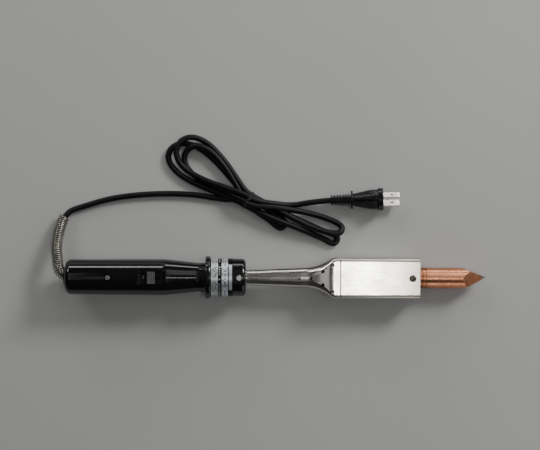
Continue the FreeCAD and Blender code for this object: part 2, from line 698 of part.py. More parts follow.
def plug_body():
    """Grip between a thumb ring and the flange at the plug's face."""
    flange = PLUG_LENGTH - PLUG_FLANGE_WIDTH
    ring_front = RELIEF_LENGTH + PLUG_RING_WIDTH
    body = turned([(RELIEF_LENGTH, 0, 0), (RELIEF_LENGTH, PLUG_RING_R, 0.7), (ring_front, PLUG_RING_R, 0.7),
                   (ring_front, 0, 0)])
    sections = [plug_section(ring_front + u, *sizes) for u, *sizes in PLUG_SECTIONS]
    body = body.fuse(Part.makeLoft(sections + [plug_section(flange, *PLUG_LAST_SECTION)], True, False))
    return body.fuse(turned([(flange, 0, 0), (flange, PLUG_FLANGE_R, 1.0), (PLUG_LENGTH, PLUG_FLANGE_R, 1.0),
                             (PLUG_LENGTH, 0, 0)]))


def plug_blades():
    """The two flat blades, bevelled at the tip, each with its hole."""
    tip = PLUG_LENGTH + BLADE_LENGTH
    along, into = BLADE_BEVEL
    half = BLADE_THICKNESS / 2
    blades = []
    for side, width in zip((-1, 1), BLADE_WIDTHS):
        y = side * BLADE_SPACING / 2
        outline = [(PLUG_LENGTH, -half), (tip - along, -half), (tip, into - half), (tip, half - into),
                   (tip - along, half), (PLUG_LENGTH, half), (PLUG_LENGTH, -half)]
        face = Part.Face(Part.makePolygon([V(x, y + t, -width / 2) for x, t in outline]))
        hole = Part.makeCylinder(BLADE_HOLE_R, 2 * BLADE_THICKNESS,
                                 V(PLUG_LENGTH + BLADE_HOLE_X, y - BLADE_THICKNESS, 0), V(0, 1, 0))
        blades.append(face.extrude(V(0, 0, width)).cut(hole))
    return Part.makeCompound(blades)


def place_plug(shape):
    """Roll the plug and lay it on the bench at the end of the cord's tail."""
    apart = PLUG_LENGTH - PLUG_FLANGE_WIDTH - RELIEF_LENGTH
    rise = math.degrees(math.atan((PLUG_FLANGE_R - PLUG_RING_R) / apart))
    end = TAIL_ROUTE[-1]
    shape.rotate(V(0, 0, 0), V(1, 0, 0), PLUG_ROLL)
    shape.rotate(V(0, 0, 0), V(0, 1, 0), -rise)
    shape.rotate(V(0, 0, 0), V(0, 0, 1), PLUG_YAW)
    shape.translate(V(*end))
    return shape


def iron_nodes():
    """Every piece of the iron itself, by node name, in the iron's own axes."""
    cavity = housing_solid(SHEET)
    nodes = {}
    nodes["handle_upper_shell"], nodes["handle_lower_shell"] = handle_halves()
    nodes["handle_screw"], nodes["handle_nut"] = handle_fasteners()
    nodes["rear_bush"] = rear_bush()
    nodes["cord_jacket_end"], nodes["cord_clamp"], nodes["cord_clamp_screws"] = cord_end()
    nodes["cord_cores"] = cores()
    body, bezel, knob, tabs, lead = switch_pieces()
    nodes["switch_body"] = body
    nodes["switch_bezel"] = bezel
    nodes["switch_knob"] = knob
    nodes["switch_terminals"] = tabs
    nodes["switch_lead"] = lead
    nodes["terminal_block"], nodes["terminal_screws"] = terminals()
    nodes["neck_ring"] = neck_ring()
    nodes["guard_collar"] = guard_collar().cut(housing_solid())
    nodes["collar_screws"] = collar_screws()
    nodes["rating_label"] = rating_label()
    nodes["housing_upper"], nodes["housing_lower"] = housing_halves(cavity)
    nodes["shoulder_screws"], nodes["shoulder_nuts"] = shoulder_fasteners()
    nodes["housing_lower"] = nodes["housing_lower"].cut(nodes["shoulder_nuts"])
    nodes["front_plate"] = support_plate(X_MOUTH - 4.5, X_MOUTH - 2.5, HEAD_R)
    nodes["rear_plate"] = rear_plate()
    nodes["heater_barrel"] = heater_barrel()
    nodes["inner_mica"], nodes["heater_winding"], nodes["outer_mica"], nodes["heater_bands"] = heater_wraps()
    nodes["rear_disc"] = rear_disc()
    nodes["heater_leads"] = heater_leads()
    nodes["lead_beads"] = lead_beads()
    nodes["soldering_bit"] = soldering_bit()
    nodes["set_screw"] = set_screw()
    return nodes


def main():
    nodes = {name: lay_down(shape) for name, shape in iron_nodes().items()}
    bounds = Part.makeCompound(list(nodes.values())).BoundBox
    exits = lay_down(Part.makePolygon([V(BUSH_DEPTH, 0, 0), V(-BEND_BACK, 0, 0)]))
    exit_point, bend_point = [tuple(v.Point) for v in exits.Vertexes]

    nodes["cord_guard_spring"], nodes["cord_lead"], nodes["cord_tail"] = cord_pieces(exit_point, bend_point)
    nodes["cord_hank"], nodes["cord_tie"] = hank_and_tie()
    for name in ("cord_lead", "cord_tail"):
        nodes[name] = nodes[name].cut(nodes["cord_hank"])
    nodes["plug_strain_relief"] = place_plug(plug_relief())
    nodes["plug_body"] = place_plug(plug_body())
    nodes["plug_blades"] = place_plug(plug_blades())

    os.makedirs("parts", exist_ok=True)
    origin = V(-bounds.Center.x, -bounds.Center.y, 0)
    print("pitch", round(PITCH, 3), "lift", round(LIFT, 3), "origin", [round(c, 3) for c in origin])
    for name, shape in nodes.items():
        shape.translate(origin)
        if not shape.isValid():
            print("INVALID", name)
        shape.exportStep("parts/" + name + ".step")
        print(name, len(shape.Solids), round(shape.Volume, 1))


main()
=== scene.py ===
import json
import math

import bpy
from bpy.props import FloatProperty, FloatVectorProperty, PointerProperty
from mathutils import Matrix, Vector


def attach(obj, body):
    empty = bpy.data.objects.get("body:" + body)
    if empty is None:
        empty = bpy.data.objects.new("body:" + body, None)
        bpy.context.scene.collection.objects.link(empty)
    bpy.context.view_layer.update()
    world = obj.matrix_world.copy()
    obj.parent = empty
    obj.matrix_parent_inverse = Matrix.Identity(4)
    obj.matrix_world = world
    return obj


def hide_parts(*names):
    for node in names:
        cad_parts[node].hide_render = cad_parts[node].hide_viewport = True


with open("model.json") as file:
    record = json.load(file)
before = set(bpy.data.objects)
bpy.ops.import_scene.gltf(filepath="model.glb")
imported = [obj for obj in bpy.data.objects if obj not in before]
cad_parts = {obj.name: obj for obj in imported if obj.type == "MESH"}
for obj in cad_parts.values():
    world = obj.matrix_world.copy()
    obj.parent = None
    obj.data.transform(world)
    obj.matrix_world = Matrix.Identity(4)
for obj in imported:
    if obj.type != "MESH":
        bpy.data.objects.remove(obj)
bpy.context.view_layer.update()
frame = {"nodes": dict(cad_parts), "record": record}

bl_info = {
    "name": "Soldering iron",
    "version": (1, 0, 0),
    "blender": (4, 5, 0),
    "location": "3D View > Sidebar > Soldering iron",
    "description": "Dresses a heavy soldering iron: cord, wire guard, tie, surfaces, floor and lights",
    "category": "Object",
}

MM = 0.001

# The iron's own axis, from the handle's rear end towards the bit
MOUNTS = {mount["name"]: mount for mount in frame["record"]["mounts"]}
AXIS = Vector(MOUNTS["bit_bar"]["axis"]).normalized()
BIT_BAR_FROM_REAR = 401.8 * MM
REAR = Vector(MOUNTS["bit_bar"]["pos_m"]) - BIT_BAR_FROM_REAR * AXIS
PITCH = math.asin(-AXIS.z)
COLLAR_R = 19.7 * MM
LABEL_FROM_REAR = 152.4 * MM
HOT_HOUSING = (330 * MM, 372 * MM)  # straw tint grows from the first to the second
OXIDE = (369 * MM, 384 * MM)  # brown on the bit, fading out towards the point
TINNED_POINT = (436 * MM, 441 * MM)
TOOL_RINGS = 0.8 * MM
WAVE_BANDS = 3.2  # bands that Blender's wave texture fits in one unit of its scale

# The middle of the view on the floor, and the camera's turn about the vertical in radians
VIEW_CENTRE = (-0.0065, 0.0553)
VIEW_TURN = 0.005
FLOOR_HALF = 4.0
ROOM_LIGHT = 0.05

# The cord's route on the bench in metres, with x from the handle's rear end
EXIT = (9.0 * MM, -6.0 * MM, -1.5 * MM)  # on the iron's axis: cord's start, first bend, bush
LEAD = [
    (-0.0104, 0.0200, 0.0226),
    (-0.0126, 0.0380, 0.0132),
    (-0.0052, 0.0678, 0.0049),
    (0.0160, 0.0748, 0.00315),
    (0.0450, 0.0836, 0.00315),
    (0.0850, 0.0882, 0.00315),
    (0.1300, 0.0882, 0.00315),
    (0.1650, 0.0820, 0.00315),
]
GUARD_END = (-0.0063, 0.0626, 0.0065)
TAIL = [
    (0.2167, 0.0780, 0.0100),
    (0.2380, 0.0760, 0.00315),
    (0.2575, 0.0800, 0.0058),
    (0.2786, 0.0819, 0.00835),
]

# The tie, and where each strand of the bundle passes through it: millimetres across, height
TIE_AT = Vector((0.1905, 0.0816, 0.0))
TIE_TURN = math.radians(-30)
TIE_REACH = 7 * MM
TIE_MIDDLE = 9.4 * MM
TIE_HALF = (10.6 * MM, 9.6 * MM)  # across, up
REST = 3.15 * MM  # centre of a cord that lies on the floor
PLACES = [(-3.1, 4.2), (3.1, 4.2), (-6.2, 9.4), (0.0, 9.4), (-3.1, 14.6), (6.2, 9.4), (3.1, 14.6)]

# The hank's turns: shape, direction in degrees, then in millimetres reach, half width (its sign is
# the side that the cord leaves on), lean to one side, and how far points are lifted over what they cross
TURNS = [
    ("fold", -35.5, 47.0, -5.2, 0.0, {}),
    ("loop", 141.0, 100.5, -18.0, 9.8, {}),
    ("fold", -24.0, 104.0, -5.2, -0.5, {0: 4.5, 1: 4.0}),
    ("loop", 141.0, 85.5, -16.2, 0.5, {0: 2.0, 1: 3.0, 2: 4.5, 3: 5.8, 4: 2.0}),
    ("loop", -20.5, 105.5, 8.2, 5.5, {0: 4.5, 1: 3.5, 4: 3.5, 5: 6.2, 6: 6.0, 7: 5.6, 8: 3.5}),
    ("loop", 141.0, 97.0, -19.0, -1.0, {0: 2.0, 2: 1.0, 3: 4.5, 4: 6.2, 5: 5.8, 6: 2.5, 7: 4.0, 8: 4.0}),
]


def linear(code):
    """Linear colour of an sRGB hex value."""
    parts = [int(code[i:i + 2], 16) / 255 for i in (1, 3, 5)]
    return tuple(c / 12.92 if c <= 0.04045 else ((c + 0.055) / 1.055) ** 2.4 for c in parts)


def length_setting(name, description, default):
    return FloatProperty(name=name, description=description, default=default, min=0.0, unit="LENGTH")


def colour_setting(name, description, code):
    return FloatVectorProperty(name=name, description=description, default=linear(code), size=3,
                               min=0.0, max=1.0, subtype="COLOR")


class IronSizes(bpy.types.PropertyGroup):
    """Sizes of the pieces that are made here."""

    cord_diameter: length_setting("Cord diameter", "Across the cord's sheath", 6.2 * MM)
    cord_length: length_setting("Cord length", "From the handle to the plug", 1.55)
    guard_radius: length_setting("Guard radius", "From the cord's centre to the middle of the wire",
                                 5.35 * MM)
    guard_wire: length_setting("Guard wire", "Thickness of the guard's spring wire", 1.2 * MM)
    guard_pitch: length_setting("Guard pitch", "From one coil of the guard to the next", 2.1 * MM)
    tie_wire: length_setting("Tie wire", "Thickness of the coated tie wire", 1.1 * MM)
    view_height: length_setting("Camera height", "Height of the camera above the floor", 1.2)
    view_width: length_setting("View width", "Width of floor that the camera sees", 0.579)


class IronColours(bpy.types.PropertyGroup):
    """Colours of the surfaces."""

    phenolic: colour_setting("Phenolic", "Handle and collar mouldings", "#0b0b0c")
    sheath: colour_setting("Cord sheath", "Rubber of the cord", "#080808")
    plug: colour_setting("Plug", "Vinyl of the plug", "#080809")
    knob: colour_setting("Knob", "Sliding knob of the switch", "#5c5c60")
    nickel: colour_setting("Nickel", "Plated housing", "#dedad2")
    copper: colour_setting("Copper", "Bare copper of the bit", "#e7a27c")
    foil: colour_setting("Foil", "Printed label", "#dee3e5")
    floor: colour_setting("Floor", "Bench top", "#b0b0ae")


def sizes():
    return bpy.context.scene.iron_sizes


def colours():
    return bpy.context.scene.iron_colours


def on_axis(x):
    """The point on the iron's axis at a distance from the handle's rear end."""
    return REAR + x * AXIS


def on_bench(point):
    return Vector((REAR.x + point[0], point[1], point[2]))


# Materials


def add(tree, kind, inputs=None, **settings):
    """Adds a shader node with its settings; an input is linked to a socket or set to a value."""
    node = tree.nodes.new(kind)
    for name, value in settings.items():
        setattr(node, name, value)
    for name, value in (inputs or {}).items():
        if isinstance(value, bpy.types.NodeSocket):
            tree.links.new(value, node.inputs[name])
        else:
            node.inputs[name].default_value = value
    return node


def axis_coordinates(tree):
    """Coordinates in metres along and across the iron, with x from the handle's rear end."""
    along = REAR.x * math.cos(PITCH) - REAR.z * math.sin(PITCH)
    above = REAR.x * math.sin(PITCH) + REAR.z * math.cos(PITCH)
    place = add(tree, "ShaderNodeTexCoord")
    return add(tree, "ShaderNodeMapping", {"Vector": place.outputs["Object"],
                                           "Rotation": (0, -PITCH, 0),
                                           "Location": (-along, 0, -above)}).outputs[0]


def surface(name, colour, tint, roughness, grain, depth, metallic=0.0, stretch=(1, 1, 1), patch=25 * MM,
            **sockets):
    """A material whose colour and gloss drift in patches over a fine grain of a real size.

    colour and tint are the two colours of the patches, roughness its least and most, grain and depth
    the size and height of the surface's texture in metres, and stretch squeezes the grain along an axis.
    """
    material = bpy.data.materials.new(name)
    material.use_nodes = True
    tree = material.node_tree
    shader = next(node for node in tree.nodes if node.type == "BSDF_PRINCIPLED")
    shader.inputs["Metallic"].default_value = metallic
    for socket, value in sockets.items():
        shader.inputs[socket.replace("_", " ")].default_value = value
    where = axis_coordinates(tree)
    patches = add(tree, "ShaderNodeTexNoise", {"Vector": where, "Scale": 1 / patch, "Detail": 4.0})
    drawn = add(tree, "ShaderNodeMapping", {"Vector": where, "Scale": stretch})
    fine = add(tree, "ShaderNodeTexNoise", {"Vector": drawn.outputs[0], "Scale": 1 / grain, "Detail": 3.0})
    share = add(tree, "ShaderNodeMapRange", {"Value": patches.outputs[0], "From Min": 0.35,
                                             "From Max": 0.65})
    mixed = add(tree, "ShaderNodeMix", {0: share.outputs[0], 6: (*colour, 1), 7: (*tint, 1)},
                data_type="RGBA")
    blend = add(tree, "ShaderNodeMath", {0: patches.outputs[0], 1: fine.outputs[0]}, operation="ADD")
    gloss = add(tree, "ShaderNodeMapRange", {"Value": blend.outputs[0], "From Min": 0.75, "From Max": 1.25,
                                             "To Min": roughness[0], "To Max": roughness[1]})
    bump = add(tree, "ShaderNodeBump", {"Height": fine.outputs[0], "Distance": depth, "Strength": 1.0})
    tree.links.new(mixed.outputs[2], shader.inputs["Base Color"])
    tree.links.new(gloss.outputs[0], shader.inputs["Roughness"])
    tree.links.new(bump.outputs[0], shader.inputs["Normal"])
    return {"material": material, "tree": tree, "shader": shader, "where": where, "fine": fine,
            "colour": mixed.outputs[2], "gloss": gloss.outputs[0], "bump": bump}


def paint(nodes, made):
    """Gives CAD nodes a finished material."""
    for node in nodes:
        for slot in frame["nodes"][node].material_slots:
            slot.material = made["material"]


def recolour(made, share, colour):
    """Blends a surface's colour towards another where share is 1."""
    tree = made["tree"]
    mixed = add(tree, "ShaderNodeMix", {0: share, 6: made["colour"], 7: (*colour, 1)}, data_type="RGBA")
    made["colour"] = mixed.outputs[2]
    tree.links.new(made["colour"], made["shader"].inputs["Base Color"])


def between(tree, value, low, high, soft):
    """1 where value lies between low and high, fading over soft at both ends."""
    rise = add(tree, "ShaderNodeMapRange", {"Value": value, "From Min": low - soft, "From Max": low})
    fall = add(tree, "ShaderNodeMapRange", {"Value": value, "From Min": high, "From Max": high + soft,
                                            "To Min": 1.0, "To Max": 0.0})
    return add(tree, "ShaderNodeMath", {0: rise.outputs[0], 1: fall.outputs[0]},
               operation="MULTIPLY").outputs[0]


def moulded_phenolic(name, roughness):
    """Compression-moulded phenolic resin: deep black gloss with a slow ripple and a few scuffs."""
    base = Vector(colours().phenolic)
    return surface(name, base, base * 1.5, roughness, 2.2 * MM, 0.006 * MM, patch=30 * MM, IOR=1.6,
                   stretch=(0.5, 1, 1))


def nickel_screws():
    """Nickel-plated steel screws: bright, slightly warm, with fine turning marks."""
    warm = Vector(colours().nickel)
    return surface("nickel plated screw steel", warm * 0.66, warm * 0.42, (0.22, 0.36), 0.5 * MM, 0.02 * MM,
                   metallic=1.0, patch=3 * MM)


def matte_rubber(name, colour, roughness):
    """Vulcanised rubber: matte black with a fine talc-like grain."""
    base = Vector(colour)
    return surface(name, base, base * 1.6, roughness, 0.6 * MM, 0.02 * MM, patch=12 * MM, IOR=1.52,
                   Specular_IOR_Level=0.22)


# Pieces


def register_piece(data_name, data, body):
    """Puts new geometry in the scene, on its body."""
    piece = bpy.data.objects.new(data_name, data)
    bpy.context.scene.collection.objects.link(piece)
    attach(piece, body)
    return piece


def wire(name, points, radius, kind="NURBS", sides=3, steps=8):
    """A round wire along one open spline."""
    data = bpy.data.curves.new(name, "CURVE")
    data.dimensions = "3D"
    # each point carries the radius, so that the curve's own bounds grow by no more than the wire's
    data.bevel_depth = 1.0 if radius else 0.0
    data.bevel_resolution = sides
    data.resolution_u = steps
    data.use_fill_caps = True
    spline = data.splines.new(kind)
    spline.points.add(len(points) - 1)
    for spot, point in zip(spline.points, points):
        spot.co = (*point, 1)
        spot.radius = radius
    if kind == "NURBS":
        spline.order_u = 3
        spline.use_endpoint_u = True
    return data


def centre_line(points):
    """Points read along the smooth line of a route's spline."""
    bare = bpy.data.objects.new("bare line", wire("bare line", points, 0.0))
    bpy.context.scene.collection.objects.link(bare)
    bpy.context.view_layer.update()
    mesh = bpy.data.meshes.new_from_object(bare.evaluated_get(bpy.context.evaluated_depsgraph_get()))
    line = [v.co.copy() for v in mesh.vertices]
    bpy.data.objects.remove(bare)
    bpy.data.meshes.remove(mesh)
    return line


def helix(line, radius, pitch, turn_steps, start=0.0):
    """Points of a helix wound round a line."""
    points = []
    normal = Vector((0, 0, 1))
    travelled = 0.0
    step = pitch / turn_steps
    due = 0.0
    for a, b in zip(line, line[1:]):
        run = (b - a).length
        if run == 0:
            continue
        tangent = (b - a) / run
        normal = (normal - tangent * normal.dot(tangent)).normalized()
        side = tangent.cross(normal)
        while due <= travelled + run:
            angle = start + 2 * math.pi * due / pitch
            centre = a + tangent * (due - travelled)
            points.append(centre + radius * (math.cos(angle) * normal + math.sin(angle) * side))
            due += step
        travelled += run
    return points


def tie_point(along, across, height):
    turn = Vector((math.cos(TIE_TURN), math.sin(TIE_TURN), 0))
    side = Vector((-math.sin(TIE_TURN), math.cos(TIE_TURN), 0))
    return on_bench(TIE_AT + along * turn + across * side + Vector((0, 0, height)))


def fold_shape(reach, half):
    """A tight fold: two runs side by side, and half an octagon round the bulb at the end."""
    side = math.tan(math.pi / 8)
    bulb = abs(half)
    clear = 1.02  # the two runs lie just clear of each other
    run = REST * clear / MM * (1 if half > 0 else -1)
    out = [(0.3 * reach, run), (0.62 * reach, run), (reach - 2.7 * bulb, 1.15 * run),
           (reach - (1 - side) * bulb, half), (reach, side * half)]
    return out + [(u, -v) for u, v in reversed(out)]


def loop_shape(reach, half):
    """An open loop, drop-shaped, that starts and ends at the tie."""
    steps = 12
    round_enough = 16
    widest = 0.65  # the greatest value of sine times swell
    # a narrow loop is blunted, so that the cord still bends round its end
    blunt = min(1.0, abs(half) / round_enough)
    shape = []
    for k in range(2, steps - 1):
        turn = 2 * math.pi * k / steps
        swell = (1 - math.cos(turn)) / 2
        short = (1 - swell) * (blunt if abs(k - steps / 2) == 1 else 1)
        shape.append((reach * (1 - short), half * math.sin(turn) * swell / widest))
    return shape


def turn_points(turn, before, after):
    """Points of one turn of the hank, between the strand's two places in the tie."""
    kind, direction, reach, half, lean, lifts = turn
    ahead = Vector((math.cos(math.radians(direction)), math.sin(math.radians(direction)), 0))
    aside = Vector((-ahead.y, ahead.x, 0))
    across = Vector((-math.sin(TIE_TURN), math.cos(TIE_TURN), 0))
    shape = (fold_shape if kind == "fold" else loop_shape)(reach, half)
    points = []
    # near the tie a strand keeps its place in it, and further out it settles on the floor
    for k, (u, v) in enumerate(shape):
        place = before if k < len(shape) / 2 else after
        near = 1 - u / reach
        flat = u * ahead + (v + lean * u / reach) * aside + place[0] * near ** 1.5 * across
        height = (place[1] - REST / MM) * near ** 3 + lifts.get(k, 0.0)
        points.append(on_bench(TIE_AT + flat * MM + Vector((0, 0, REST + height * MM))))
    return points


def cord_points():
    """Control points of the whole cord, from inside the handle to the plug."""
    points = [on_axis(EXIT[0]), on_axis(EXIT[1])] + [on_bench(p) for p in LEAD]
    for i, place in enumerate(PLACES):
        ahead = TIE_REACH if i % 2 == 0 else -TIE_REACH
        points.append(tie_point(-ahead, place[0] * MM, place[1] * MM))
        points.append(tie_point(ahead, place[0] * MM, place[1] * MM))
        if i < len(TURNS):
            points += turn_points(TURNS[i], place, PLACES[i + 1])
    return points + [on_bench(p) for p in TAIL]


class IRON_OT_camera(bpy.types.Operator):
    """Looks straight down on the iron and its tied cord"""

    bl_idname = "iron.camera"
    bl_label = "Camera"

    def execute(self, context):
        data = bpy.data.cameras.new("overhead camera")
        data.lens = data.sensor_width * sizes().view_height / sizes().view_width
        camera = bpy.data.objects.new("overhead camera", data)
        camera.location = (*VIEW_CENTRE, sizes().view_height)
        camera.rotation_euler = (0, 0, VIEW_TURN)
        context.scene.collection.objects.link(camera)
        context.scene.camera = camera
        return {"FINISHED"}


class IRON_OT_cord(bpy.types.Operator):
    """Lays the cord: lead, tied hank and tail in one smooth line"""

    bl_idname = "iron.cord"
    bl_label = "Cord"

    def execute(self, context):
        radius = sizes().cord_diameter / 2
        cord = register_piece("mains_cord", wire("mains_cord", cord_points(), radius, sides=5), "iron")
        # rubber sheath: matte black, a little glossier in patches
        made = matte_rubber("rubber cord sheath", colours().sheath, (0.38, 0.52))
        cord.data.materials.append(made["material"])
        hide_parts("cord_lead", "cord_hank", "cord_tail")
        return {"FINISHED"}


class IRON_OT_guard(bpy.types.Operator):
    """Winds the spring-wire guard round the first part of the cord"""

    bl_idname = "iron.guard"
    bl_label = "Wire guard"

    def execute(self, context):
        line = centre_line(cord_points()[:7])
        inside = 6 * MM
        end = on_bench(GUARD_END)
        last = min(range(len(line)), key=lambda i: (line[i] - end).length)
        first = next(i for i, p in enumerate(line) if (p - line[0]).length > inside)
        points = helix(line[first:last + 1], sizes().guard_radius, sizes().guard_pitch, 14)
        data = wire("cord_guard_coil", points, sizes().guard_wire / 2, kind="POLY", sides=2)
        guard = register_piece("cord_guard_coil", data, "iron")
        # drawn spring wire: bright with a grey drawn skin, darker in patches
        made = surface("drawn spring steel wire", linear("#c9c5bb"), linear("#989388"), (0.22, 0.36),
                       0.7 * MM, 0.01 * MM, metallic=1.0, patch=6 * MM)
        guard.data.materials.append(made["material"])
        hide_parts("cord_guard_spring")
        return {"FINISHED"}


class IRON_OT_tie(bpy.types.Operator):
    """Wraps the hank's waist with a coated wire and twists its ends"""

    bl_idname = "iron.tie"
    bl_label = "Tie"

    def execute(self, context):
        thick = sizes().tie_wire
        around = []
        turns = 2
        steps = 8
        spread = 2.6 * thick
        lowest = thick / 2 + 0.1 * MM
        twist_pitch = 4.2 * MM
        for k in range(turns * steps + 1):
            angle = math.pi / 2 + 2 * math.pi * k / steps
            along = (k / (turns * steps) - 0.5) * spread
            across = TIE_HALF[0] * math.cos(angle)
            height = TIE_MIDDLE + TIE_HALF[1] * math.sin(angle)
            around.append(tie_point(along, across, max(height, lowest)))
        ends = [tie_point(0, 2 * MM, TIE_MIDDLE + 9.2 * MM),
                tie_point(1 * MM, 6 * MM, TIE_MIDDLE + 9.6 * MM),
                tie_point(1.5 * MM, 10 * MM, TIE_MIDDLE + 8 * MM)]
        twist = centre_line(ends)
        one = helix(twist, thick * 0.52, twist_pitch, 6)
        other = helix(twist, thick * 0.52, twist_pitch, 6, start=math.pi)
        points = list(reversed(one)) + around + other
        data = wire("tie_wire", points, thick / 2)
        tie = register_piece("tie_wire", data, "iron")
        # PVC-coated tie wire: soft satin black
        made = surface("vinyl coated tie wire", linear("#1b1b1b"), linear("#2a2a2a"), (0.35, 0.5), 0.5 * MM,
                       0.01 * MM, patch=5 * MM)
        tie.data.materials.append(made["material"])
        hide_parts("cord_tie")
        return {"FINISHED"}


class IRON_OT_handle(bpy.types.Operator):
    """Finishes the moulded handle, neck ring, collar and rear bush"""

    bl_idname = "iron.handle"
    bl_label = "Handle and collar"

    def execute(self, context):
        paint(["handle_upper_shell", "handle_lower_shell"],
              moulded_phenolic("polished moulded phenolic", (0.06, 0.13)))
        paint(["neck_ring", "guard_collar"], moulded_phenolic("satin moulded phenolic", (0.1, 0.18)))
        paint(["rear_bush"], matte_rubber("moulded rubber bush", linear("#131313"), (0.5, 0.7)))
        return {"FINISHED"}


class IRON_OT_switch(bpy.types.Operator):
    """Finishes the slide switch"""

    bl_idname = "iron.switch"
    bl_label = "Slide switch"

    def execute(self, context):
        # moulded urea bezel: satin black with a fine spark-eroded grain
        bezel = surface("spark eroded black urea", linear("#060607"), linear("#0b0b0c"), (0.12, 0.2),
                        0.4 * MM, 0.015 * MM, patch=8 * MM, IOR=1.55)
        paint(["switch_body", "switch_bezel"], bezel)
        # grey acetal knob: soft sheen, mottled paler and darker
        grey = Vector(colours().knob)
        knob = surface("moulded grey acetal", grey, grey * 0.72, (0.32, 0.46), 0.5 * MM, 0.02 * MM,
                       patch=4 * MM, IOR=1.48)
        paint(["switch_knob"], knob)
        return {"FINISHED"}


class IRON_OT_label(bpy.types.Operator):
    """Prints plain bands and blank marks on the foil round the collar"""

    bl_idname = "iron.label"
    bl_label = "Label"

    def execute(self, context):
        # printed aluminium foil: silver with a faint brushed grain under clear lacquer
        foil = Vector(colours().foil)
        made = surface("printed aluminium foil", foil, foil * 0.8, (0.28, 0.4), 0.5 * MM, 0.008 * MM,
                       metallic=0.75, stretch=(3, 0.3, 0.3), patch=6 * MM)
        tree = made["tree"]
        split = add(tree, "ShaderNodeSeparateXYZ", {"Vector": made["where"]})
        along = split.outputs[0]
        angle = add(tree, "ShaderNodeMath", {0: split.outputs[1], 1: split.outputs[2]}, operation="ARCTAN2")
        arc = add(tree, "ShaderNodeMath", {0: angle.outputs[0], 1: COLLAR_R}, operation="MULTIPLY")
        black = linear("#101011")
        blue = linear("#e2e8f0")
        pale = linear("#a9a9a4")
        soft = 0.15 * MM

        def band(low, high):
            return between(tree, along, LABEL_FROM_REAR + low * MM, LABEL_FROM_REAR + high * MM, soft)

        def marks(low, high, width, gap, share, seed):
            """Blank printed blocks in a band: some cells of a grid are filled, with gaps between."""
            cells = []
            for value, size in ((along, width), (arc.outputs[0], gap)):
                scaled = add(tree, "ShaderNodeMath", {0: value, 1: 1 / (size * MM)}, operation="MULTIPLY")
                whole = add(tree, "ShaderNodeMath", {0: scaled.outputs[0]}, operation="FLOOR")
                part = add(tree, "ShaderNodeMath", {0: scaled.outputs[0]}, operation="FRACT")
                cells.append((whole.outputs[0], between(tree, part.outputs[0], 0.2, 0.8, 0.08)))
            pick = add(tree, "ShaderNodeCombineXYZ", {0: cells[0][0], 1: cells[1][0], 2: seed})
            noise = add(tree, "ShaderNodeTexWhiteNoise", {"Vector": pick.outputs[0]})
            chosen = add(tree, "ShaderNodeMath", {0: noise.outputs[0], 1: share}, operation="LESS_THAN")
            cell = add(tree, "ShaderNodeMath", {0: cells[0][1], 1: cells[1][1]}, operation="MULTIPLY")
            both = add(tree, "ShaderNodeMath", {0: cell.outputs[0], 1: chosen.outputs[0]},
                       operation="MULTIPLY")
            return add(tree, "ShaderNodeMath", {0: both.outputs[0], 1: band(low, high)},
                       operation="MULTIPLY").outputs[0]

        recolour(made, marks(0.9, 5.8, 1.25, 1.1, 0.45, 1.0), linear("#3a3b3d"))
        recolour(made, band(7.0, 11.0), black)
        recolour(made, marks(7.8, 10.6, 2.9, 2.6, 0.75, 2.0), pale)
        recolour(made, band(11.2, 17.4), blue)
        recolour(made, marks(12.0, 16.8, 2.4, 1.6, 0.5, 3.0), linear("#2c2f36"))
        recolour(made, band(17.4, 22.6), black)
        patch = add(tree, "ShaderNodeMath", {0: between(tree, arc.outputs[0], -13.6 * MM, 15 * MM, soft),
                                             1: band(18.4, 21.6)}, operation="MULTIPLY")
        recolour(made, patch.outputs[0], foil * 0.9)
        paint(["rating_label"], made)
        return {"FINISHED"}


class IRON_OT_housing(bpy.types.Operator):
    """Finishes the plated stem and heater housing"""

    bl_idname = "iron.housing"
    bl_label = "Stem and housing"

    def execute(self, context):
        # satin nickel plate over pressed steel: fine lengthwise polishing lines, hazy smudges, and a
        # straw tint where the housing runs hottest
        nickel = Vector(colours().nickel)
        made = surface("satin nickel plated sheet", nickel, nickel * 0.88, (0.13, 0.22), 0.9 * MM,
                       0.003 * MM, metallic=1.0, stretch=(0.08, 1, 1), patch=22 * MM)
        tree = made["tree"]
        along = add(tree, "ShaderNodeSeparateXYZ", {"Vector": made["where"]}).outputs[0]
        hot = add(tree, "ShaderNodeMapRange", {"Value": along, "From Min": HOT_HOUSING[0],
                                               "From Max": HOT_HOUSING[1], "To Max": 0.45})
        recolour(made, hot.outputs[0], linear("#b3a184"))
        paint(["housing_upper", "housing_lower"], made)
        return {"FINISHED"}


